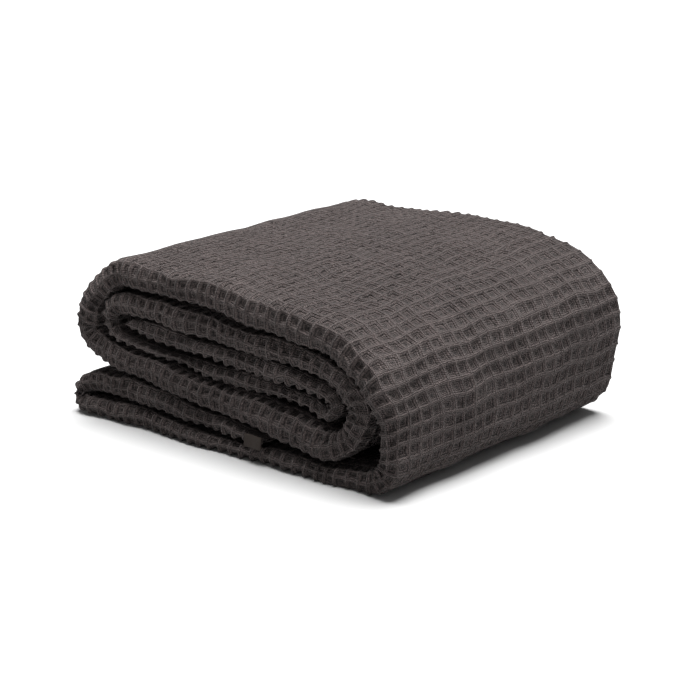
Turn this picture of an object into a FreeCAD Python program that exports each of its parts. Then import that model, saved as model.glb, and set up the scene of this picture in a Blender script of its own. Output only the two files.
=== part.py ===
# Folded throw blanket: one long strip of six plies of waffle cotton, laid in a flat spiral.
# The strip runs tail flap, tail fold, base leaf, spine, top leaf, left outer fold and so on
# to the core leaf in the middle.  Millimetres, +Z up, +Y towards the back (the side with the
# hem edges), +X towards the spine.  The origin is the middle of the footprint on the table.
import FreeCAD, Part
import os

os.makedirs("parts", exist_ok=True)

# ---- driving dimensions -------------------------------------------------------------------
DEPTH = 220.0             # front folds to back folds, along Y
WIDTH = 268.0             # left folds to spine, along X
FRONT_GAP = 1.0           # the leaves start this far behind the care label's face
LIFT_LEVEL = 18.0         # height of the spine crease, below which the pile doesn't grow
RISE_EDGE = 0.13          # how much taller the pile above that is at the back, over the left folds,
RISE_MIDDLE = 0.20        # over the middle of the leaves,
RISE_SPINE = 0.36         # and over the spine
EDGE_TURNS = (20.0, 75.0)     # x between which the first passes into the second
RISE_TURNS = (99.0, 238.0)    # x between which the second passes into the third
SPINE_TURNS = (197.0, 248.0)  # x between which the spine's own lean begins
FOOT_FRONT = -5.0         # the spine's foot draws in by this in front,
FOOT_BACK = -12.5         # and by this at the back
LEAN_BACK = 9.0           # its face leans out by this at the back, from LEAN_LEVEL up
LEAN_LEVEL = 60.0
PRESSED_FLAT = 0.6        # cloth lower than this is pressed flat on the table:
PRESS_DEPTH = 0.05        # it is drawn this far down, and then cut level with the table
EDGE_RUN = 7.0            # depth of the rounding of a front or back fold
EDGE_STEP = 2.0           # first step of that rounding
HEM_BAND = 8.0            # how far the two side hems reach in from the back
HEM_CLEAR = 0.4           # hem strips to the fold beside them
END_HEM_THREAD = 0.8      # stitching thread's thickness, as laid
LABEL_SIZE = (13.0, 0.8, 8.0)
LABEL_CORNER = (157.0, 0.1, 9.5)
THREAD_X = 166.0          # the tail's line of stitching, from the left folds
THREAD_Z = 16.65
CORNER_CLEAR = 0.4        # the spine corner stops this far short of its neighbours
TANGENT_STEP = 0.5

# ---- the strip's route through the pile -----------------------------------------------------
# Each station is (x, z, thickness): the strip's mid line seen from the front, with x measured
# from the left folds, and how thick the six plies lie there.
ROUTE = [
    ("tail_hem", [(168, 13.4, 4.6), (160, 13.5, 6)]),
    ("tail_flap", [(149, 14.5, 7), (119, 15.6, 10.4), (81.5, 19.5, 12.8), (51.5, 22.2, 16.4),
                   (40, 22.3, 16)]),
    ("tail_fold", [(22.5, 21.5, 15.5), (11.5, 18, 13), (6.4, 12, 12.5), (9.8, 7.4, 10.8),
                   (22, 6, 10.4), (37, 6, 12)]),
    ("base_leaf", [(51.5, 6.3, 12.6), (81.5, 5.8, 11.6), (119, 4.5, 9), (156.5, 4.8, 9.6), (186.5, 5.5, 11),
                   (217, 5.5, 11), (235.5, 6.5, 13), (248.5, 7.5, 15)]),
    ("spine_corner", [(256.5, 11, 15.5), (260.5, 19, 15)]),
    ("spine_wall", [(259.5, 30.5, 14), (257.5, 42.5, 14), (251.5, 53.5, 14)]),
    ("shoulder_fold", [(245, 62, 15), (235, 68.5, 15.5), (219, 75.5, 16.5), (203.5, 79, 17)]),
    ("top_leaf", [(186.5, 82, 19), (156.5, 85.5, 20.5), (134, 89, 19), (119, 90, 17.5),
                  (104, 90.5, 17.5), (73.5, 91.5, 17), (46.5, 92, 17)]),
    ("left_outer_fold", [(36, 86.5, 18), (26, 78.5, 18), (21, 71, 19.5), (18.5, 63, 21),
                         (17.5, 54.5, 20), (26, 46, 18), (37, 42.3, 17.5), (51.5, 40.5, 17)]),
    ("lower_outer_leaf", [(66.5, 38, 17), (81.5, 36.2, 17), (119, 31, 17.5), (156.5, 28.2, 18.8),
                          (186.5, 24.8, 20.2), (213.5, 21.2, 18.2)]),
    ("right_inner_fold", [(220, 21.4, 17.6), (230, 26.2, 16.4), (235.5, 36, 17), (236.5, 44.5, 17),
                          (232.5, 51, 14), (225.5, 56.5, 12.5), (217, 59.8, 12.5), (205.5, 62.8, 13)]),
    ("upper_inner_leaf", [(186.5, 65.3, 13), (156.5, 67.8, 14), (134, 69.8, 17), (119, 71, 18.5),
                          (81.5, 74.5, 14.5), (67, 74.8, 13.8), (55.5, 74.3, 13)]),
    ("left_inner_fold", [(45.5, 72.8, 12), (40.2, 68.9, 12.5), (38, 63.2, 12.5), (40.5, 58, 10.5),
                         (46, 54.6, 8), (56.5, 52, 6.5)]),
    ("lower_inner_leaf", [(66.5, 50.5, 6), (81.5, 48.5, 6.5), (119, 45, 9.5), (156.5, 43, 10),
                          (186.5, 41.2, 9), (206, 38, 9)]),
    ("core_fold", [(213, 36.8, 9), (218.5, 42.6, 9), (213, 48.5, 9), (206, 49.7, 9)]),
    ("core_leaf", [(198, 51, 9.5), (186.5, 53, 10), (156.5, 54.5, 11), (119, 56, 10),
                   (83, 59.5, 13), (69, 61, 12), (58, 62, 9)]),
    ("core_hem", [(51.5, 62.5, 6)]),
]
BASE_NODES = ("tail_hem", "tail_flap", "tail_fold", "base_leaf")
NO_SIDE_HEM = ("tail_hem", "core_hem", "spine_corner")

# How the strip is cut across at each depth: (y, outer share, inner share of the thickness).
BACK_STEP = DEPTH - HEM_BAND
ROUND_FRONT = [
    (FRONT_GAP, 0.22, -0.22),
    (FRONT_GAP + EDGE_STEP, 0.40, -0.40),
    (FRONT_GAP + EDGE_RUN, 0.50, -0.50),
]
ROUND_BACK = [
    (DEPTH - EDGE_RUN, 0.50, -0.50),
    (DEPTH - EDGE_STEP, 0.40, -0.40),
    (DEPTH, 0.22, -0.22),
]
FOLD_BACK = [
    (BACK_STEP - HEM_CLEAR, 0.50, -0.50),
    (BACK_STEP, 0.50, -0.04),
    (DEPTH - EDGE_STEP, 0.42, 0.02),
    (DEPTH, 0.30, 0.12),
]
HEM_STRIP = [
    (BACK_STEP + HEM_CLEAR, -0.10, -0.46),
    (DEPTH - EDGE_STEP, -0.12, -0.42),
]


def route_curve():
    """One smooth mid line through every station, and each station's place along it."""
    points = []
    for _, stations in ROUTE:
        for x, z, _ in stations:
            points.append(FreeCAD.Vector(x, 0, z))
    curve = Part.BSplineCurve()
    curve.interpolate(points)
    return curve


def stations_with_normals(curve):
    """Every station as (mid point, tangent, normal out of the spiral, thickness)."""
    result = []
    for _, stations in ROUTE:
        for x, z, thickness in stations:
            place = FreeCAD.Vector(x, 0, z)
            tangent = curve.tangent(curve.parameter(place))[0]
            normal = FreeCAD.Vector(tangent.z, 0, -tangent.x)
            result.append((place, tangent, normal, thickness))
    return result


def ramp_between(value, ends):
    """0 before the first end, 1 after the second, and smooth between."""
    share = (value - ends[0]) / (ends[1] - ends[0])
    share = min(max(share, 0.0), 1.0)
    return share * share * (3 - 2 * share)


def place_point(point, y):
    """Move a point of the front view to depth y: the pile grows and the spine leans that way."""
    back = y / DEPTH
    z = point.z
    if z < PRESSED_FLAT:
        z = -PRESS_DEPTH
    rise = RISE_EDGE + (RISE_MIDDLE - RISE_EDGE) * ramp_between(point.x, EDGE_TURNS)
    rise = rise + (RISE_SPINE - RISE_MIDDLE) * ramp_between(point.x, RISE_TURNS)
    foot = FOOT_FRONT + (FOOT_BACK - FOOT_FRONT) * back
    up = min(z / LEAN_LEVEL, 1.0)
    lean = foot * (1 - up) + LEAN_BACK * back * up
    x = point.x + lean * ramp_between(point.x, SPINE_TURNS)
    if z > LIFT_LEVEL:
        z = z + (z - LIFT_LEVEL) * rise * back
    return FreeCAD.Vector(x - WIDTH / 2, y - DEPTH / 2, z)


def place_tangent(station, share, y):
    """The strip's direction at that station, as placed at depth y."""
    place, tangent, normal, thickness = station
    point = place + normal * (share * thickness)
    step = place_point(point + tangent * TANGENT_STEP, y) - place_point(point - tangent * TANGENT_STEP, y)
    return step.normalize()


def side_edge(stations, share, y):
    """One long side of the strip's outline at depth y, as a smooth curve or a straight line."""
    points = []
    for place, _, normal, thickness in stations:
        points.append(place_point(place + normal * (share * thickness), y))
    if len(points) == 2 or max(point.z for point in points) == -PRESS_DEPTH:
        return Part.LineSegment(points[0], points[-1]).toShape()
    curve = Part.BSplineCurve()
    first = place_tangent(stations[0], share, y)
    last = place_tangent(stations[-1], share, y)
    curve.interpolate(Points=points, InitialTangent=first, FinalTangent=last)
    return curve.toShape()


def outline(stations, outer_share, inner_share, y):
    """The strip's closed outline at depth y."""
    outer = side_edge(stations, outer_share, y)
    inner = side_edge(stations, inner_share, y)
    start = Part.LineSegment(inner.Vertexes[0].Point, outer.Vertexes[0].Point).toShape()
    end = Part.LineSegment(outer.Vertexes[-1].Point, inner.Vertexes[-1].Point).toShape()
    return Part.Wire([start, outer, end, inner])


def strip_solid(stations, cuts):
    """A length of the strip as one solid, ruled from each cut across it to the next."""
    wires = [outline(stations, outer, inner, y) for y, outer, inner in cuts]
    return level(Part.makeLoft(wires, True, True))


def level(solid):
    """The solid cut level with the table, where it was drawn lower."""
    if solid.BoundBox.ZMin >= 0:
        return solid
    above = Part.makeBox(2 * WIDTH, 2 * DEPTH, WIDTH, FreeCAD.Vector(-WIDTH, -DEPTH, 0))
    return solid.common(above).Solids[0]


def shorten(stations, clear):
    """The same stations with the first and the last drawn in along the strip."""
    mid, tangent, normal, thickness = stations[0]
    first = (mid + tangent * clear, tangent, normal, thickness)
    mid, tangent, normal, thickness = stations[-1]
    last = (mid - tangent * clear, tangent, normal, thickness)
    return [first] + stations[1:-1] + [last]


def export(shape, node):
    shape.exportStep("parts/" + node + ".step")
    print(node, "valid", shape.isValid(), "volume", round(shape.Volume / 1000, 1), "ml")


def build_strip():
    """The leaves and folds of the strip, and the side hems along their back edges."""
    everything = stations_with_normals(route_curve())
    hems = {"base_side_hem": [], "roll_side_hem": []}
    first = 0
    for node, own in ROUTE:
        last = first + len(own) - 1
        start = max(first - 1, 0)
        piece = everything[start:last + 1]
        if node == "spine_corner":
            piece = shorten(piece, CORNER_CLEAR)
        if node in NO_SIDE_HEM:
            export(strip_solid(piece, ROUND_FRONT + ROUND_BACK), node)
        else:
            export(strip_solid(piece, ROUND_FRONT + FOLD_BACK), node)
            group = "base_side_hem" if node in BASE_NODES else "roll_side_hem"
            hems[group].append(strip_solid(piece, HEM_STRIP))
        first = last + 1
    for node, solids in hems.items():
        export(Part.makeCompound(solids), node)


def build_thread():
    """The line of stitching that holds the tail's end hem, laid along its top."""
    length = DEPTH - 2 * EDGE_RUN
    start = FreeCAD.Vector(THREAD_X - WIDTH / 2, -length / 2, THREAD_Z)
    thread = Part.makeCylinder(END_HEM_THREAD / 2, length, start, FreeCAD.Vector(0, 1, 0))
    export(thread, "tail_hem_stitching")


def build_label():
    """The blank care label that hangs out of the tail's end hem, at the front."""
    x, y, z = LABEL_CORNER
    corner = FreeCAD.Vector(x - WIDTH / 2, y - DEPTH / 2, z)
    export(Part.makeBox(*LABEL_SIZE, corner), "care_label")


build_strip()
build_thread()
build_label()
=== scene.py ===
import math

import bpy
import numpy as np
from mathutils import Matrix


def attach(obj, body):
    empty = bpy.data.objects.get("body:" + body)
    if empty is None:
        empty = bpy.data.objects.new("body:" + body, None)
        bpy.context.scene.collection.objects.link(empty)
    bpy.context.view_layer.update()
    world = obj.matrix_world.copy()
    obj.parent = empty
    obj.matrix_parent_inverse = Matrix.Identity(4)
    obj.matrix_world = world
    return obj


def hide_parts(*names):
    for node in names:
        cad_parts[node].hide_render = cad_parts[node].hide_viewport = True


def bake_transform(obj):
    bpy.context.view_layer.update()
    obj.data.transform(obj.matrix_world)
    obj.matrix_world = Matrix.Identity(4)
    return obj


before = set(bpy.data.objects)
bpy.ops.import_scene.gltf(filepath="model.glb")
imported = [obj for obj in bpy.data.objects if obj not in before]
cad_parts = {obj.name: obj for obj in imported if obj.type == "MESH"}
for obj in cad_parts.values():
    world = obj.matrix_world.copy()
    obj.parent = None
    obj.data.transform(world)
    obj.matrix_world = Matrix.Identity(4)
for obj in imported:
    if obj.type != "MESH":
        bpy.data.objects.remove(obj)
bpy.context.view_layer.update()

# A waffle-weave throw, folded to a strip of six plies that lies in a flat spiral, with its round
# folds in front.  The named values are in millimetres, and Blender's lengths in metres.
MM = 0.001
DEPTH = 220.0             # front folds to back folds, along Y
WIDTH = 268.0             # left folds to spine, along X
FRONT_GAP = 1.0           # between the front plane and the foremost folds
HEM_BAND = 8.0            # between the end of the inner face and the back plane, left to the side hems
CELL_RUN = 8.2            # one waffle cell along the strip, rib to rib
CELL_DEEP = 9.2           # and across it, from front to back
CELL_DEPTH = 2.9          # from the top of a rib to the bottom of a cell
STEP = 0.93               # mesh spacing on the cloth
SEED = 7

# The pile rises and leans towards the back.
LIFT_LEVEL = 18.0             # height of the spine crease; what lies lower doesn't rise
RISE_EDGE = 0.13              # how much taller the pile above it is at the back, over the left folds,
RISE_MIDDLE = 0.20            # over the middle of the leaves,
RISE_SPINE = 0.36             # and over the spine
EDGE_TURNS = (20.0, 75.0)     # x between which the first passes into the second
RISE_TURNS = (99.0, 238.0)    # x between which the second passes into the third
SPINE_TURNS = (197.0, 248.0)  # x between which the spine's own lean begins
FOOT_FRONT = -5.0             # the spine's foot draws in by this in front,
FOOT_BACK = -12.5             # and by this at the back
LEAN_BACK = 9.0               # its face leans out by this at the back,
LEAN_LEVEL = 60.0             # and has its whole lean from this height up

# The strip's mid line, as (x from the left folds, z, thickness), the same stations as the CAD model.
ROUTE = [
    ("tail_hem", [(168, 13.4, 4.6), (160, 13.5, 6)]),
    ("tail_flap", [(149, 14.5, 7), (119, 15.6, 10.4), (81.5, 19.5, 12.8), (51.5, 22.2, 16.4),
                   (40, 22.3, 16)]),
    ("tail_fold", [(22.5, 21.5, 15.5), (11.5, 18, 13), (6.4, 12, 12.5), (9.8, 7.4, 10.8),
                   (22, 6, 10.4), (37, 6, 12)]),
    ("base_leaf", [(51.5, 6.3, 12.6), (81.5, 5.8, 11.6), (119, 4.5, 9), (156.5, 4.8, 9.6), (186.5, 5.5, 11),
                   (217, 5.5, 11), (235.5, 6.5, 13), (248.5, 7.5, 15)]),
    ("spine_corner", [(256.5, 11, 15.5), (260.5, 19, 15)]),
    ("spine_wall", [(259.5, 30.5, 14), (257.5, 42.5, 14), (251.5, 53.5, 14)]),
    ("shoulder_fold", [(245, 62, 15), (235, 68.5, 15.5), (219, 75.5, 16.5), (203.5, 79, 17)]),
    ("top_leaf", [(186.5, 82, 19), (156.5, 85.5, 20.5), (134, 89, 19), (119, 90, 17.5),
                  (104, 90.5, 17.5), (73.5, 91.5, 17), (46.5, 92, 17)]),
    ("left_outer_fold", [(36, 86.5, 18), (26, 78.5, 18), (21, 71, 19.5), (18.5, 63, 21),
                         (17.5, 54.5, 20), (26, 46, 18), (37, 42.3, 17.5), (51.5, 40.5, 17)]),
    ("lower_outer_leaf", [(66.5, 38, 17), (81.5, 36.2, 17), (119, 31, 17.5), (156.5, 28.2, 18.8),
                          (186.5, 24.8, 20.2), (213.5, 21.2, 18.2)]),
    ("right_inner_fold", [(220, 21.4, 17.6), (230, 26.2, 16.4), (235.5, 36, 17), (236.5, 44.5, 17),
                          (232.5, 51, 14), (225.5, 56.5, 12.5), (217, 59.8, 12.5), (205.5, 62.8, 13)]),
    ("upper_inner_leaf", [(186.5, 65.3, 13), (156.5, 67.8, 14), (134, 69.8, 17), (119, 71, 18.5),
                          (81.5, 74.5, 14.5), (67, 74.8, 13.8), (55.5, 74.3, 13)]),
    ("left_inner_fold", [(45.5, 72.8, 12), (40.2, 68.9, 12.5), (38, 63.2, 12.5), (40.5, 58, 10.5),
                         (46, 54.6, 8), (56.5, 52, 6.5)]),
    ("lower_inner_leaf", [(66.5, 50.5, 6), (81.5, 48.5, 6.5), (119, 45, 9.5), (156.5, 43, 10),
                          (186.5, 41.2, 9), (206, 38, 9)]),
    ("core_fold", [(213, 36.8, 9), (218.5, 42.6, 9), (213, 48.5, 9), (206, 49.7, 9)]),
    ("core_leaf", [(198, 51, 9.5), (186.5, 53, 10), (156.5, 54.5, 11), (119, 56, 10),
                   (83, 59.5, 13), (69, 61, 12), (58, 62, 9)]),
    ("core_hem", [(51.5, 62.5, 6)]),
]
# The lengths that stay with the base; the others turn with the roll.
BASE_NODES = ("tail_hem", "tail_flap", "tail_fold", "base_leaf")

# How far each length's front folds stand behind the front plane.
SET_BACK = {
    "tail_hem": 3.0, "tail_flap": 1.5, "upper_inner_leaf": 1.0, "left_inner_fold": 2.0,
    "lower_inner_leaf": 4.5, "core_fold": 3.5, "core_leaf": 3.0, "core_hem": 4.0,
}

# The spine corner's length, at the unfold hinge, reaches into the base leaf and up the wall.
CORNER_START_X = 227.0
CORNER_END_Z = 40.0


# ---- the strip's mid line -------------------------------------------------------------------
def natural_spline(knots, values):
    """Second derivatives of the natural cubic spline through values at knots."""
    count = len(knots)
    gap = np.diff(knots)
    system = np.eye(count)
    right = np.zeros((count, values.shape[1]))
    for i in range(1, count - 1):
        system[i, i - 1] = gap[i - 1]
        system[i, i] = 2 * (gap[i - 1] + gap[i])
        system[i, i + 1] = gap[i]
        slope_after = (values[i + 1] - values[i]) / gap[i]
        slope_before = (values[i] - values[i - 1]) / gap[i - 1]
        right[i] = 6 * (slope_after - slope_before)
    return np.linalg.solve(system, right)


def spline_at(knots, values, bends, u):
    """The natural spline's points at u."""
    i = np.clip(np.searchsorted(knots, u, side="right") - 1, 0, len(knots) - 2)
    gap = (knots[i + 1] - knots[i])[:, None]
    a = (knots[i + 1] - u)[:, None] / gap
    b = 1 - a
    curve = a * values[i] + b * values[i + 1]
    return curve + ((a**3 - a) * bends[i] + (b**3 - b) * bends[i + 1]) * gap**2 / 6


def smooth(values, width):
    """Moving average over width samples, with the ends held."""
    width = max(int(width), 1) | 1
    padded = np.concatenate([np.full(width // 2, values[0]), values, np.full(width // 2, values[-1])])
    return np.convolve(padded, np.ones(width) / width, mode="valid")


FINE_SAMPLES = 12000      # points that the mid line's length is measured with
THICK_BLUR = 9.0          # lengths that thickness, bend and set-back are evened out over
BEND_BLUR = 4.0
SET_BACK_BLUR = 25.0


class Strip:
    """Rows every STEP along the strip: mid point, outward normal, thickness and node ends.

    The weave is counted along the outer side of each bend, where the cells keep their size."""

    def __init__(self):
        stations = np.array([station for _, own in ROUTE for station in own], float)
        owners = [node for node, own in ROUTE for _ in own]
        places = stations[:, :2]
        chord = np.hypot(*np.diff(places, axis=0).T)
        knots = np.concatenate([[0.0], np.cumsum(np.sqrt(chord))])
        bends = natural_spline(knots, places)
        fine_u = np.linspace(0, knots[-1], FINE_SAMPLES)
        fine = spline_at(knots, places, bends, fine_u)
        run = np.concatenate([[0.0], np.cumsum(np.hypot(*np.diff(fine, axis=0).T))])
        station_s = np.interp(knots, fine_u, run)
        self.length = run[-1]
        self.s = np.linspace(0, self.length, int(round(self.length / STEP)) + 1)
        self.mid = spline_at(knots, places, bends, np.interp(self.s, run, fine_u))
        tangent = np.gradient(self.mid, axis=0)
        tangent /= np.linalg.norm(tangent, axis=1)[:, None]
        self.normal = np.stack([tangent[:, 1], -tangent[:, 0]], axis=1)
        self.thick = smooth(np.interp(self.s, station_s, stations[:, 2]), THICK_BLUR / STEP)
        self.ends = dict(zip(owners, station_s))
        turned = np.abs(np.gradient(np.unwrap(np.arctan2(tangent[:, 1], tangent[:, 0]))))
        outer = np.gradient(self.s) + smooth(turned, BEND_BLUR / STEP) * self.thick / 2
        self.cells = np.cumsum(outer) / CELL_RUN
        offsets = [SET_BACK.get(node, 0.0) for node in owners]
        self.set_back = smooth(np.interp(self.s, station_s, offsets), SET_BACK_BLUR / STEP)

    def row(self, s):
        """The row nearest to that length along the strip."""
        return int(np.argmin(np.abs(self.s - s)))

    def row_where(self, node, axis, value):
        """The row inside node's length whose mid point is nearest to value on that axis."""
        names = [name for name, _ in ROUTE]
        first = self.row(self.ends[names[names.index(node) - 1]])
        last = self.row(self.ends[node])
        return first + int(np.argmin(np.abs(self.mid[first:last + 1, axis] - value)))


STRIP = Strip()
RANDOM = np.random.RandomState(SEED)


# ---- irregularities ---------------------------------------------------------------------------
CELL_HASH = (127.1, 311.7, 43758.5453)   # unrelated numbers that scatter each cell's value


def wave_set(count, shortest, longest):
    """Random plane waves: (turn rate along a, along b, phase) for wavelengths in cells."""
    wavelengths = shortest * (longest / shortest) ** RANDOM.rand(count)
    angles = 2 * math.pi * RANDOM.rand(count)
    phases = 2 * math.pi * RANDOM.rand(count)
    turns = 2 * math.pi / wavelengths
    return np.stack([turns * np.cos(angles), turns * np.sin(angles), phases], axis=1)


def wave_sum(waves, a, b):
    """A smooth random field of about unit size over (a, b)."""
    total = np.zeros_like(a)
    for rate_a, rate_b, phase in waves:
        total += np.sin(rate_a * a + rate_b * b + phase)
    return total * math.sqrt(2.0 / len(waves))


def cell_noise(a, b):
    """A repeatable value from 0 to 1 for each cell."""
    n = np.floor(a) * CELL_HASH[0] + np.floor(b) * CELL_HASH[1]
    return np.modf(np.abs(np.sin(n) * CELL_HASH[2]))[0]


# How many waves each has, and their shortest and longest wavelengths in cells.
BULGE_WAVES = wave_set(8, 4.0, 14.0)
RIB_DRIFT = wave_set(10, 2.2, 9.0)
ROW_DRIFT = wave_set(10, 2.2, 9.0)
DEPTH_WAVES = wave_set(12, 1.5, 6.0)
EDGE_WAVES = wave_set(8, 3.0, 12.0)
HEM_WAVES = wave_set(8, 1.5, 7.0)


# ---- the strip's outline and place -------------------------------------------------------------
ROUND_POWER = 2.25        # squareness of the front folds, where 2 is round
FRONT_SHAPE = 0.85        # depth of a front fold, in half thicknesses
FRONT_WAVER = 0.9         # how far the front folds come and go from row to row,
BACK_WAVER = 0.7          # and the back folds,
BACK_WAVES_AT = 50.0      # whose waves are read this far from the front's
LOBE_TOP = 0.50           # the back fold's lobe, in shares of the thickness
LOBE_BOTTOM = -0.04
LOBE_SHAPE = 1.2          # depth of the lobe, in half its height
FOLDS_DEEP = 16.0         # what the front and back folds take of the depth
FRONT_STEPS = 10          # mesh steps on half a front fold,
LOBE_STEPS = 14           # on the lobe,
LEDGE_STEPS = 4           # on the ledge over the side hems,
DROP_STEPS = 6            # and down to the inner face in front of them
FACE_STEPS = int(round((DEPTH - FOLDS_DEEP) / STEP))


def ramp_between(value, ends):
    """0 before ends[0], 1 after ends[1], and smooth between."""
    share = np.clip((value - ends[0]) / (ends[1] - ends[0]), 0.0, 1.0)
    return share * share * (3 - 2 * share)


def superellipse(angle, power):
    """The point at that angle on a rounded square of half size 1, which is a circle at power 2."""
    c = np.cos(angle)
    s = np.sin(angle)
    return np.sign(c) * np.abs(c) ** (2 / power), np.sign(s) * np.abs(s) ** (2 / power)


def shares(count):
    """Equal steps from 0 to 1 as one row, without the 0."""
    return np.linspace(0, 1, count + 1)[None, 1:]


def band_profile(rows, squash):
    """The strip's closed outline on each row: y from the front plane, and w out along the normal.

    squash thins the strip to round off its two cut ends."""
    t = STRIP.thick[rows][:, None] * squash[:, None]
    s = STRIP.cells[rows][:, None]
    zero = np.zeros_like(s)
    front_wave = 1 + wave_sum(EDGE_WAVES, s, zero)
    front = FRONT_GAP + STRIP.set_back[rows][:, None] + FRONT_WAVER * front_wave
    back = DEPTH - BACK_WAVER * (1 + wave_sum(EDGE_WAVES, s, zero + BACK_WAVES_AT))
    step = DEPTH - HEM_BAND + zero
    reach = FRONT_SHAPE * t / 2
    along = shares(FACE_STEPS + 1)[:, :-1]
    # The front fold's outer half, from its apex.
    angle = np.linspace(0, math.pi / 2, FRONT_STEPS + 1)[None, :]
    c, k = superellipse(angle, ROUND_POWER)
    front_y = front + reach * (1 - c)
    front_w = t / 2 * k
    # The outer face, and the lobe that it ends in.
    lobe_mid = (LOBE_TOP + LOBE_BOTTOM) / 2
    lobe_half = (LOBE_TOP - LOBE_BOTTOM) / 2
    lobe_reach = LOBE_SHAPE * lobe_half * t
    outer_y = front + reach + (back - lobe_reach - front - reach) * along
    outer_w = t / 2 + 0 * outer_y
    turn = np.linspace(math.pi / 2, -math.pi / 2, LOBE_STEPS + 1)[None, :]
    lobe_y = back - lobe_reach + lobe_reach * np.cos(turn)
    lobe_w = (lobe_mid + lobe_half * np.sin(turn)) * t
    # The ledge under the lobe, the drop from it, and the inner face back to the front.
    ledge_y = lobe_y[:, -1:] + (step - lobe_y[:, -1:]) * shares(LEDGE_STEPS)
    ledge_w = lobe_w[:, -1:] + 0 * ledge_y
    drop = shares(DROP_STEPS)
    drop_y = step + 0 * drop
    drop_w = t * (LOBE_BOTTOM + (-0.5 - LOBE_BOTTOM) * drop)
    inner_y = step + (front + reach - step) * along
    inner_w = -t / 2 + 0 * inner_y
    y = [front_y, outer_y, lobe_y, ledge_y, drop_y, inner_y, front_y[:, :0:-1]]
    w = [front_w, outer_w, lobe_w, ledge_w, drop_w, inner_w, -front_w[:, :0:-1]]
    return np.concatenate(y, axis=1), np.concatenate(w, axis=1)


def place(rows, y, w):
    """Points in metres for depth y and offset w from the mid line on each row."""
    x = STRIP.mid[rows, 0][:, None] + STRIP.normal[rows, 0][:, None] * w
    z = STRIP.mid[rows, 1][:, None] + STRIP.normal[rows, 1][:, None] * w
    z = np.maximum(z, 0.0)
    back = y / DEPTH
    rise = RISE_EDGE + (RISE_MIDDLE - RISE_EDGE) * ramp_between(x, EDGE_TURNS)
    rise = rise + (RISE_SPINE - RISE_MIDDLE) * ramp_between(x, RISE_TURNS)
    foot = FOOT_FRONT + (FOOT_BACK - FOOT_FRONT) * back
    up = np.minimum(z / LEAN_LEVEL, 1.0)
    lean = foot * (1 - up) + LEAN_BACK * back * up
    x = x + lean * ramp_between(x, SPINE_TURNS)
    z = z + np.maximum(z - LIFT_LEVEL, 0) * rise * back
    return np.stack([x - WIDTH / 2, y - DEPTH / 2, z], axis=2) * MM


def grid_normals(points):
    """Outward unit normals of a grid that closes round its columns."""
    across = np.roll(points, -1, axis=1) - np.roll(points, 1, axis=1)
    along = np.gradient(points, axis=0)
    normal = np.cross(across, along)
    return normal / np.maximum(np.linalg.norm(normal, axis=2), 1e-12)[:, :, None]


def distance_round(y, w):
    """How far round the outline each point is from the first one, and the whole way round."""
    dy = np.diff(y, axis=1, append=y[:, :1])
    dw = np.diff(w, axis=1, append=w[:, :1])
    run = np.concatenate([np.zeros((len(y), 1)), np.cumsum(np.hypot(dy, dw), axis=1)], axis=1)
    return run[:, :-1], run[:, -1:]


# ---- the weave's relief ------------------------------------------------------------------------
RIB_FLANK = (0.10, 0.50)  # the steep side of a rib, from 0 on the rib to 1 in the cell's middle,
RIB_FALL = 0.68           # the share of the cell's depth that it falls,
PIT_FALL = 0.32           # and the share left for the slope into the middle
BAR_HEIGHT = 0.79         # height of the bars between the ribs, as a share of theirs
BAR_BLEND = 9.0           # how sharply ribs and bars meet
HIGHEST = 1.2             # most that a crossing may stand up to
RIB_WANDER = 0.055        # how far ribs and bars wander, in cells
BAR_WANDER = 0.09
DEPTH_WANDER = 0.11       # how much the depth changes over a few cells,
CELL_WANDER = 0.3         # and from one cell to the next
FULL_THICK = 15.0         # the strip's thickness from which the cells have their whole depth,
THIN_DEPTH = 0.45         # and the least share of it
FACE_DEPTH = 0.85         # the cells' depth on the faces, as a share of what is asked for,
FRONT_DEEPER = 0.65       # what the front folds add to that,
FRONT_REACH = 11.0        # and how far that reaches from their apex
BULGE = 0.55              # how far the cloth swells and sinks over several cells,
BULGE_MEAN = -0.3         # about this level
FREE_LEVEL = 6.0          # and less below this height, where the surface it lies on holds it flat
OUTER_SHARE = 0.52        # share of the outline that is counted from the front over the outer face


def crest(distance):
    """A rounded rib beside a steep-sided pit, for 0 on the rib to 1 in the cell's middle."""
    return 1 - RIB_FALL * ramp_between(distance, RIB_FLANK) - PIT_FALL * distance


def waffle(u, v):
    """Height of the weave from 0 at a cell's middle to 1 on a rib, u across the ribs."""
    rib = crest(np.abs(u - np.round(u)) * 2)
    bar = BAR_HEIGHT * crest(np.abs(v - np.round(v)) * 2)
    return np.log(np.exp(BAR_BLEND * rib) + np.exp(BAR_BLEND * bar) - 1) / BAR_BLEND


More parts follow.
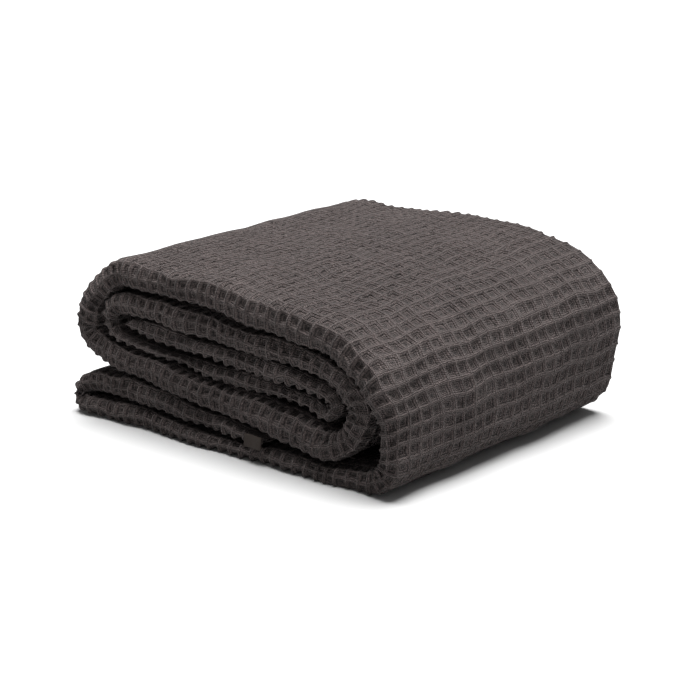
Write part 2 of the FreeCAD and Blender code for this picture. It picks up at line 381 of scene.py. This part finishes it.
def cloth_points(rows, squash, depth):
    """The woven surface of the strip over these rows, and its weave coordinates."""
    y, w = band_profile(rows, squash)
    base = place(rows, y, w)
    normal = grid_normals(base)
    run, total = distance_round(y, w)
    v = np.where(run > total * OUTER_SHARE, run - total, run) / CELL_DEEP
    u = STRIP.cells[rows][:, None] + 0 * v
    drift_u = u + RIB_WANDER * wave_sum(RIB_DRIFT, u, v)
    drift_v = v + BAR_WANDER * wave_sum(ROW_DRIFT, u, v)
    relief = waffle(drift_u, drift_v)
    lively = 1 + DEPTH_WANDER * wave_sum(DEPTH_WAVES, u, v)
    lively = lively + CELL_WANDER * (cell_noise(drift_u, drift_v) - 0.5)
    thin = np.clip(STRIP.thick[rows] / FULL_THICK, THIN_DEPTH, 1.0)[:, None]
    edge = np.exp(-(v * CELL_DEEP / FRONT_REACH) ** 2)
    deep = depth * thin * (FACE_DEPTH + FRONT_DEEPER * edge) * lively
    sink = deep * (1 - np.clip(relief, 0, HIGHEST))
    bulge = (BULGE * wave_sum(BULGE_WAVES, u, v) + BULGE_MEAN) * squash[:, None]
    free = np.clip((base[:, :, 2] / MM) / FREE_LEVEL, 0, 1)
    points = base + normal * ((bulge * free - sink) * MM)[:, :, None]
    points[:, :, 2] = np.maximum(points[:, :, 2], 0.0)
    return points, drift_u, drift_v


# ---- materials -----------------------------------------------------------------------------------
CHARCOAL_DEEP = (0.0090, 0.0067, 0.0063)
CHARCOAL_MID = (0.0480, 0.0376, 0.0360)
CHARCOAL_TOP = (0.1240, 0.0985, 0.0940)
THREAD_COLOUR = (0.045, 0.038, 0.036)
TAPE_COLOUR = (0.024, 0.018, 0.015)


class Graph:
    """One material, and short calls for its nodes."""

    def __init__(self, name):
        self.material = bpy.data.materials.new(name)
        self.material.use_nodes = True
        self.tree = self.material.node_tree
        self.shader = self.tree.nodes["Principled BSDF"]

    def put(self, socket, value):
        """Set an input to a number, or link an output to it."""
        if isinstance(value, (int, float)):
            socket.default_value = value
        else:
            self.tree.links.new(value, socket)

    def math(self, operation, *values):
        """The result of one Math node."""
        node = self.tree.nodes.new("ShaderNodeMath")
        node.operation = operation
        for socket, value in zip(node.inputs, values):
            self.put(socket, value)
        return node.outputs[0]

    def weighted(self, start, *terms):
        """start plus each (value, weight) term."""
        total = start
        for value, weight in terms:
            total = self.math("ADD", total, self.math("MULTIPLY", value, weight))
        return total

    def above(self, value, level):
        """How far the value is above a level."""
        return self.math("SUBTRACT", value, level)

    def off_whole(self, value):
        """Distance from the nearest whole number."""
        return self.math("ABSOLUTE", self.above(value, self.math("ROUND", value)))

    def wave(self, value, rate):
        """A sine wave that turns rate times for each 1 of the value."""
        return self.math("SINE", self.math("MULTIPLY", value, rate * 2 * math.pi))

    def weave_coordinates(self):
        """The weave's coordinates: cells along the strip, and cells across it."""
        uv = self.tree.nodes.new("ShaderNodeUVMap")
        uv.uv_map = "Weave"
        split = self.tree.nodes.new("ShaderNodeSeparateXYZ")
        self.put(split.inputs[0], uv.outputs["UV"])
        return split.outputs["X"], split.outputs["Y"]

    def noise(self, scale, detail, roughness=0.5):
        """Noise in the object's own space, in features per metre."""
        node = self.tree.nodes.new("ShaderNodeTexNoise")
        place_node = self.tree.nodes.new("ShaderNodeTexCoord")
        self.put(node.inputs["Vector"], place_node.outputs["Object"])
        self.put(node.inputs["Scale"], scale)
        self.put(node.inputs["Detail"], detail)
        self.put(node.inputs["Roughness"], roughness)
        return node.outputs["Fac"]

    def ramp(self, factor, stops):
        """The colour at factor between the (position, colour) stops."""
        node = self.tree.nodes.new("ShaderNodeValToRGB")
        self.put(node.inputs["Fac"], factor)
        elements = node.color_ramp.elements
        while len(elements) < len(stops):
            elements.new(0.5)
        for element, (position, colour) in zip(elements, stops):
            element.position = position
            element.color = (*colour, 1.0)
        return node.outputs["Color"]

    def bump(self, height, distance, strength=1.0):
        """Relief too fine for the mesh; distance is what a height of 1 stands for, in metres."""
        node = self.tree.nodes.new("ShaderNodeBump")
        self.put(node.inputs["Strength"], strength)
        self.put(node.inputs["Distance"], distance)
        self.put(node.inputs["Height"], height)
        self.put(self.shader.inputs["Normal"], node.outputs["Normal"])

    def surface(self, **inputs):
        """Set or link the shader's inputs; an underscore stands for a space."""
        for name, value in inputs.items():
            self.put(self.shader.inputs[name.replace("_", " ")], value)


def waffle_material():
    """Charcoal cotton honeycomb: yarns run round each cell in steps, each one two-ply and fuzzy."""
    yarns_across = 8.0        # yarns from rib to rib,
    yarn_wander = 0.10        # how far they wander, in cells,
    yarn_flat = 0.6           # and how flat their tops are, where 1 is a sine wave and 0 is flat
    twists = 7.0              # turns of the ply twist for each cell along a yarn,
    slant = 3.0               # and for each cell across it
    cord_narrow = 7.0         # how narrow the raised yarn along each rib is
    shadow_line_at = 0.17             # how far from a rib or bar the painted shadow line beside it is, in cells,
    shadow_line_narrow = 14.0         # and how narrow
    pit_shade_from = 0.28           # how far from them the painted shade in the pit begins,
    pit_shade_slope = 5.0           # and how fast
    g = Graph("waffle_cloth")
    weave_u, weave_v = g.weave_coordinates()
    wobble = g.math("MULTIPLY", g.above(g.noise(420.0, detail=1.0), 0.5), yarn_wander)
    u = g.math("ADD", weave_u, wobble)
    v = g.math("ADD", weave_v, wobble)
    du = g.off_whole(u)
    dv = g.off_whole(v)
    near = g.math("MINIMUM", du, dv)
    yarn = g.math("ABSOLUTE", g.math("COSINE", g.math("MULTIPLY", near, yarns_across * math.pi)))
    yarn = g.math("POWER", yarn, yarn_flat)
    # The ply twist runs slantwise along whichever yarn is on top.
    on_rib = g.math("LESS_THAN", du, dv)
    twist_u = g.wave(g.weighted(0.0, (v, twists), (u, slant)), 1.0)
    twist_v = g.wave(g.weighted(0.0, (u, twists), (v, slant)), 1.0)
    twist = g.weighted(0.0, (twist_u, on_rib), (twist_v, g.math("SUBTRACT", 1.0, on_rib)))
    fuzz = g.noise(1500.0, detail=4.0, roughness=0.70)
    grain = g.noise(760.0, detail=2.0, roughness=0.60)
    cord = g.math("POWER", g.weighted(1.0, (du, -2.0)), cord_narrow)
    height = g.weighted(0.0, (yarn, 0.50), (twist, 0.12), (fuzz, 0.50), (cord, 0.35))
    g.bump(height, distance=0.0016)
    # Colour: a painted highlight on the rib cords, painted shade in the gaps between yarns and in the pits,
    # and a painted shadow line beside each rib and bar; fuzz, grain and drift vary the tone at random.
    drift = g.noise(16.0, detail=2.0)
    # A painted shadow: a narrow dark line beside each rib and bar.
    from_shadow_line = g.math("ABSOLUTE", g.above(near, shadow_line_at))
    beside = g.math("MAXIMUM", g.weighted(1.0, (from_shadow_line, -shadow_line_narrow)), 0.0)
    # Painted shade, deepening from the pit's edge towards the cell's middle.
    pit = g.math("MAXIMUM", g.math("MULTIPLY", g.above(near, pit_shade_from), pit_shade_slope), 0.0)
    # The cord term is a painted highlight; the pit, beside and yarn terms are painted shade.
    tone = g.weighted(0.41, (cord, 0.05), (pit, -0.34), (beside, -0.15), (g.above(yarn, 0.6), 0.60),
                      (g.above(fuzz, 0.5), 1.6), (g.above(grain, 0.5), 1.0), (g.above(drift, 0.5), 0.25))
    colour = g.ramp(tone, [(0.0, CHARCOAL_DEEP), (0.42, CHARCOAL_MID), (1.0, CHARCOAL_TOP)])
    g.surface(Base_Color=colour, Roughness=g.weighted(0.84, (fuzz, 0.14)), Specular_IOR_Level=0.18,
              Sheen_Weight=0.06, Sheen_Roughness=0.5)
    return g.material


def hem_material():
    """The same cotton without the cells: a tight plain weave of fuzzy yarns."""
    yarns = 8.0               # for each cell's length, both ways
    g = Graph("hem_cloth")
    weave_u, weave_v = g.weave_coordinates()
    weave = g.math("MULTIPLY", g.wave(weave_u, yarns), g.wave(weave_v, yarns))
    fuzz = g.noise(2600.0, detail=3.0, roughness=0.65)
    drift = g.noise(60.0, detail=2.0)
    g.bump(g.weighted(0.0, (weave, 0.4), (fuzz, 0.5)), distance=0.0011)
    tone = g.weighted(-0.27, (fuzz, 0.95), (drift, 0.40), (weave, 0.16))
    colour = g.ramp(tone, [(0.15, CHARCOAL_DEEP), (0.55, CHARCOAL_MID), (0.95, CHARCOAL_TOP)])
    g.surface(Base_Color=colour, Roughness=g.weighted(0.80, (fuzz, 0.15)), Specular_IOR_Level=0.25,
              Sheen_Weight=0.06)
    return g.material


def plain_material(name, colour, grain_scale):
    """Thread or tape: one colour with a fine woven grain in colour, bump and roughness."""
    g = Graph(name)
    grain = g.noise(grain_scale, detail=3.0, roughness=0.6)
    darker = tuple(c * 0.6 for c in colour)
    lighter = tuple(c * 1.4 for c in colour)
    g.bump(grain, distance=0.0003, strength=0.4)
    g.surface(Base_Color=g.ramp(grain, [(0.3, darker), (0.7, lighter)]),
              Roughness=g.weighted(0.6, (grain, 0.25)), Specular_IOR_Level=0.2)
    return g.material


WAFFLE = waffle_material()
HEM = hem_material()
THREAD = plain_material("thread", THREAD_COLOUR, 3000.0)
TAPE = plain_material("label_tape", TAPE_COLOUR, 2200.0)


# ---- pieces of cloth -------------------------------------------------------------------------------
END_HEM = 11.0                 # width of the turned hem at the strip's two cut ends,
END_ROUND = 2.6                # how far its tip rounds off,
END_SHARE = 0.02               # and the share of that at which the rounding stops
HEM_RELIEF = 1.6               # depth of what is left of the cells where a hem is turned
SIDE_HEMS = (-0.155, -0.365)   # mid lines of the two side hems, in shares of the thickness,
SIDE_HEM_HALF = 0.085          # and half the thickness of each
SIDE_HEM_DEEP = (211.8, 218.4) # their front and back, from the front plane
SIDE_HEM_MARGIN = 0.2          # what they keep clear of both
SIDE_HEM_POWER = 3.4           # squareness of their outline
SIDE_HEM_STEPS = 22            # mesh steps round it
HEM_WAVER_DEEP = 0.35          # how far a side hem wanders from front to back,
HEM_WAVER_OUT = 0.12           # and across the strip
HEM_WAVES_APART = 9            # how far apart the two hems' waves are read,
HEM_DEEP_WAVES_AT = 40         # and the first kind from the second
PUCKER = 0.26                  # how much the stitches pull a side hem in,
PUCKERS_PER_CELL = 1.6         # and how often


def add_object(name, data):
    """A new object in the scene."""
    obj = bpy.data.objects.new(name, data)
    bpy.context.collection.objects.link(obj)
    return obj


def grid_mesh(name, *grids):
    """A piece from grids that each close round their columns, with the weave as its UV map.

    Each grid is (points, u, v)."""
    places = []
    weaves = []
    corners = []
    count = 0
    for points, u, v in grids:
        rows, cols = points.shape[:2]
        index = np.arange(rows * cols).reshape(rows, cols)
        right = np.roll(index, -1, axis=1)
        quads = np.stack([index[:-1], index[1:], right[1:], right[:-1]], axis=2).reshape(-1, 4)
        places.append(points.reshape(-1, 3))
        weaves.append(np.stack([u.reshape(-1), v.reshape(-1)], axis=1)[quads.reshape(-1)])
        corners.append(quads + count)
        count += rows * cols
    corners = np.concatenate(corners)
    mesh = bpy.data.meshes.new(name)
    mesh.vertices.add(count)
    mesh.vertices.foreach_set("co", np.concatenate(places).reshape(-1).astype(np.float32))
    mesh.loops.add(len(corners) * 4)
    mesh.loops.foreach_set("vertex_index", corners.reshape(-1).astype(np.int32))
    mesh.polygons.add(len(corners))
    mesh.polygons.foreach_set("loop_start", (np.arange(len(corners)) * 4).astype(np.int32))
    mesh.update(calc_edges=True)
    mesh.polygons.foreach_set("use_smooth", np.ones(len(corners), bool))
    layer = mesh.uv_layers.new(name="Weave")
    layer.data.foreach_set("uv", np.concatenate(weaves).reshape(-1).astype(np.float32))
    mesh.update()
    return add_object(name, mesh)


def flat_size(rows, y, w):
    """What the outlines are cut from, laid flat in metres: once round them, by the rows' length."""
    round_band = float(distance_round(y, w)[1].mean()) * MM
    return round_band, (STRIP.s[rows[-1]] - STRIP.s[rows[0]]) * MM


def finish_cloth(obj, material, body, nodes):
    """Material and body of one piece of the cloth, and hides the CAD parts of its nodes."""
    obj.data.materials.append(material)
    if body:
        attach(obj, body)
    if nodes:
        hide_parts(*nodes)
    return obj


def add_band(name, first, last, body, node):
    """One length of the strip as its own piece of waffle cloth."""
    # A row more at each end makes its normals the same as its neighbours'.
    around = np.arange(max(first - 1, 0), min(last + 1, len(STRIP.s) - 1) + 1)
    points, u, v = cloth_points(around, np.ones(len(around)), CELL_DEPTH)
    rows = np.arange(first, last + 1)
    keep = slice(first - around[0], first - around[0] + len(rows))
    obj = grid_mesh(name, (points[keep], u[keep], v[keep]))
    flat = flat_size(rows, *band_profile(rows, np.ones(len(rows))))
    return finish_cloth(obj, WAFFLE, body, [node])


def add_end_hem(name, first, last, tip, body, node):
    """The turned hem at one cut end of the strip, rounded off towards its tip row."""
    rows = np.arange(first, last + 1)
    from_tip = np.abs(STRIP.s[rows] - STRIP.s[tip])
    share = np.clip(from_tip / END_ROUND, END_SHARE, 1.0)
    squash = np.sqrt(1 - (1 - share) ** 2)
    obj = grid_mesh(name, cloth_points(rows, squash, HEM_RELIEF))
    flat = flat_size(rows, *band_profile(rows, squash))
    return finish_cloth(obj, WAFFLE, body, [node])


def side_hem_profile(rows, which):
    """One side hem's rounded tube on each row, lying against the inner side of the back fold."""
    t = STRIP.thick[rows][:, None]
    s = STRIP.cells[rows][:, None]
    turn = np.linspace(0, 2 * math.pi, SIDE_HEM_STEPS, endpoint=False)[None, :]
    c, k = superellipse(turn, SIDE_HEM_POWER)
    waves_at = 0 * s + HEM_WAVES_APART * which
    wave_out = wave_sum(HEM_WAVES, s, waves_at)
    wave_deep = wave_sum(HEM_WAVES, s, waves_at + HEM_DEEP_WAVES_AT)
    y_mid = (SIDE_HEM_DEEP[0] + SIDE_HEM_DEEP[1]) / 2 + HEM_WAVER_DEEP * wave_deep
    y_half = (SIDE_HEM_DEEP[1] - SIDE_HEM_DEEP[0]) / 2 - SIDE_HEM_MARGIN
    stitched = 1 - PUCKER * (0.5 + 0.5 * np.cos(2 * math.pi * s * PUCKERS_PER_CELL))
    y = y_mid + y_half * c
    w = t * (SIDE_HEMS[which] + SIDE_HEM_HALF * k * stitched) + HEM_WAVER_OUT * wave_out
    return y, w


def add_side_hems(name, first, last, body, nodes):
    """Both side hems over these rows as one piece; its cloth is rounds times round one hem wide."""
    rows = np.arange(first, last + 1)
    grids = []
    for which in range(len(SIDE_HEMS)):
        y, w = side_hem_profile(rows, which)
        run = distance_round(y, w)[0]
        u = STRIP.cells[rows][:, None] + 0 * run
        grids.append((place(rows, y, w), u, run / CELL_DEEP))
    obj = grid_mesh(name, *grids)
    return finish_cloth(obj, HEM, body, nodes)


def build_cloth():
    """Every leaf and fold; the spine corner also takes in the ends of the base leaf and the wall."""
    corner_first = STRIP.row_where("base_leaf", 0, CORNER_START_X)
    corner_last = STRIP.row_where("spine_wall", 1, CORNER_END_Z)
    lasts = {
        "tail_hem": STRIP.row(END_HEM), "base_leaf": corner_first, "spine_corner": corner_last,
        "core_leaf": STRIP.row(STRIP.length - END_HEM),
    }
    first = 0
    for node, _ in ROUTE:
        last = lasts.get(node, STRIP.row(STRIP.ends[node]))
        if node == "tail_hem":
            add_end_hem("tail_hem_end", first, last, first, "base", node)
        elif node == "core_hem":
            add_end_hem("core_hem_end", first, last, last, "roll", node)
        elif node == "spine_corner":
            corner = add_band("cloth_spine_corner", first, last, None, node)
        else:
            add_band("cloth_" + node, first, last, "base" if node in BASE_NODES else "roll", node)
        first = last
    hem_first = STRIP.row(STRIP.ends["tail_hem"])
    hem_last = STRIP.row(STRIP.ends["core_leaf"])
    add_side_hems("side_hems_base", hem_first, corner_first, "base", ["base_side_hem"])
    add_side_hems("side_hems_roll", corner_last, hem_last, "roll", ["roll_side_hem"])
    corner_hems = add_side_hems("side_hems_corner", corner_first, corner_last, None, [])
    for piece in (corner, corner_hems):
        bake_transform(piece)


# ---- thread and label ------------------------------------------------------------------------------
THREAD_AT = (166.0, 16.35)     # the tail hem's stitching, from the left folds and up
STITCH = 2.3                   # length of one stitch,
STITCH_PITCH = 3.1             # from one to the next,
STITCH_HALF = 0.32             # half the thread's thickness
STITCH_TIP = 0.15              # and the least share of it, at the ends
STITCH_DIP = 0.25              # how far the ends dip into the cloth
STITCH_SKEW = 0.10             # how far a stitch may slant,
STITCH_CHANGE = 1.7            # and how far along a sine wave the next stitch's slant is
STITCH_MARGIN = 7.0            # cloth without stitches at the front and at the back
STITCH_RINGS = 7
STITCH_SIDES = 8
LABEL_AT = (157.4, 0.9, 9.9)   # left, front and lower edges of the label
LABEL_SIZE = (12.2, 0.7, 7.4)  # its width, thickness and height
LABEL_LEAN = 0.8               # how far back its upper edge lies,
LABEL_CURL = 1.3               # and its right edge,
LABEL_WAVE = (0.5, 5.0)        # with a wave of this size and rate from left to right
LABEL_DROOP = 0.5              # how far its right edge hangs
LABEL_POWER = 5.0              # squareness of its outline
LABEL_COLUMNS = 15
LABEL_STEPS = 40


def stitch_faces(start):
    """The faces of one stitch whose rings of points begin at start: its side, then its two ends."""
    faces = []
    for r in range(STITCH_RINGS - 1):
        ring = start + r * STITCH_SIDES
        for k in range(STITCH_SIDES):
            here = ring + k
            beside = ring + (k + 1) % STITCH_SIDES
            faces.append((here, beside, beside + STITCH_SIDES, here + STITCH_SIDES))
    last_ring = start + (STITCH_RINGS - 1) * STITCH_SIDES
    faces.append(tuple(range(start, start + STITCH_SIDES))[::-1])
    faces.append(tuple(range(last_ring, last_ring + STITCH_SIDES)))
    return faces


def add_stitches():
    """A row of single stitches along the tail's end hem, each dipping into the cloth at its ends."""
    turn = np.linspace(0, 2 * math.pi, STITCH_SIDES, endpoint=False)
    verts = []
    faces = []
    count = int((DEPTH - 2 * STITCH_MARGIN) / STITCH_PITCH)
    for i in range(count):
        y_mid = (i - (count - 1) / 2) * STITCH_PITCH
        skew = STITCH_SKEW * math.sin(i * STITCH_CHANGE)
        faces += stitch_faces(len(verts))
        for a in np.linspace(-1, 1, STITCH_RINGS):
            fat = STITCH_HALF * max(1 - abs(a) ** 4, STITCH_TIP)
            for angle in turn:
                x = THREAD_AT[0] - WIDTH / 2 + skew * a + fat * math.cos(angle)
                z = THREAD_AT[1] - STITCH_DIP * a * a + fat * math.sin(angle)
                verts.append((x * MM, (y_mid + STITCH / 2 * a) * MM, z * MM))
    mesh = bpy.data.meshes.new("tail_stitches")
    mesh.from_pydata(verts, [], faces)
    mesh.polygons.foreach_set("use_smooth", [True] * len(faces))
    mesh.materials.append(THREAD)
    obj = add_object("tail_stitches", mesh)
    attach(obj, "base")
    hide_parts("tail_hem_stitching")


def add_label():
    """A folded tab of blank woven tape; the fold is its lower edge."""
    across = np.linspace(0, 1, LABEL_COLUMNS)[:, None]
    turn = np.linspace(0, 2 * math.pi, LABEL_STEPS, endpoint=False)[None, :]
    c, k = superellipse(turn, LABEL_POWER)
    wide, thick, high = LABEL_SIZE
    curl = LABEL_CURL * across ** 2 + LABEL_WAVE[0] * np.sin(LABEL_WAVE[1] * across)
    x = (LABEL_AT[0] + wide * across + 0 * c) - WIDTH / 2
    y = LABEL_AT[1] + thick / 2 * k + curl - DEPTH / 2 + LABEL_LEAN / 2 * (1 + c)
    z = LABEL_AT[2] + high / 2 * (1 + c) - LABEL_DROOP * across
    round_tape = 2 * (thick + high)
    u = across * wide / CELL_RUN + 0 * c
    v = turn / (2 * math.pi) * round_tape / CELL_DEEP + 0 * across
    obj = grid_mesh("label", (np.stack([x, y, z], axis=2) * MM, u, v))
    finish_cloth(obj, TAPE, "base", ["care_label"])


build_cloth()
add_stitches()
add_label()


# ---- floor, light and camera -------------------------------------------------------------------------
FLOOR_NEAR = 4.0          # half the width of the flat floor, in metres,
FLOOR_FAR = 80.0          # of all of it,
FLOOR_RISE = 9.0          # and how high its far edge is
FLOOR_GREY = 0.46
WORLD_STRENGTH = 0.24
SENSOR = 36.0
FOCAL = 70.2              # millimetres, on a sensor that wide
CAMERA_AT = (0.5407, -0.6146, 0.2473)
CAMERA_PITCH = 14.2       # degrees that it looks down,
CAMERA_TURN = 41.0        # and turns from facing along +Y towards -X


def add_floor():
    """Flat round the object; far away it rises a little, so that it fills the view."""
    verts = []
    for half, height in ((FLOOR_NEAR, 0.0), (FLOOR_FAR, FLOOR_RISE)):
        for x, y in ((-1, -1), (1, -1), (1, 1), (-1, 1)):
            verts.append((x * half, y * half, height))
    faces = [(0, 1, 2, 3)]
    for i in range(4):
        beside = (i + 1) % 4
        faces.append((i, i + 4, beside + 4, beside))
    mesh = bpy.data.meshes.new("floor")
    mesh.from_pydata(verts, [], faces)
    g = Graph("floor")
    g.shader.inputs["Base Color"].default_value = (FLOOR_GREY, FLOOR_GREY, FLOOR_GREY, 1)
    g.surface(Roughness=0.9)
    mesh.materials.append(g.material)
    add_object("floor", mesh)


def add_world():
    """Even white light from all round."""
    world = bpy.data.worlds.new("studio")
    world.use_nodes = True
    background = world.node_tree.nodes["Background"]
    background.inputs["Color"].default_value = (1, 1, 1, 1)
    background.inputs["Strength"].default_value = WORLD_STRENGTH
    bpy.context.scene.world = world


def add_camera():
    """The photograph's view: over the front folds, from the spine's side."""
    data = bpy.data.cameras.new("camera")
    data.lens = FOCAL
    data.sensor_width = SENSOR
    camera = add_object("camera", data)
    camera.location = CAMERA_AT
    camera.rotation_euler = (math.radians(90 - CAMERA_PITCH), 0, math.radians(CAMERA_TURN))
    bpy.context.scene.camera = camera


def add_sun(name, azimuth, elevation, spread, strength):
    """A soft sun standing at that compass angle from -Y, turning towards +X."""
    data = bpy.data.lights.new(name, "SUN")
    data.energy = strength
    data.angle = math.radians(spread)
    light = add_object(name, data)
    light.rotation_euler = (math.radians(90 - elevation), 0, math.radians(azimuth))


add_floor()
add_world()
add_camera()
add_sun("overhead", azimuth=195.0, elevation=82.0, spread=50.0, strength=9.2)
bpy.context.scene.view_settings.view_transform = "Standard"
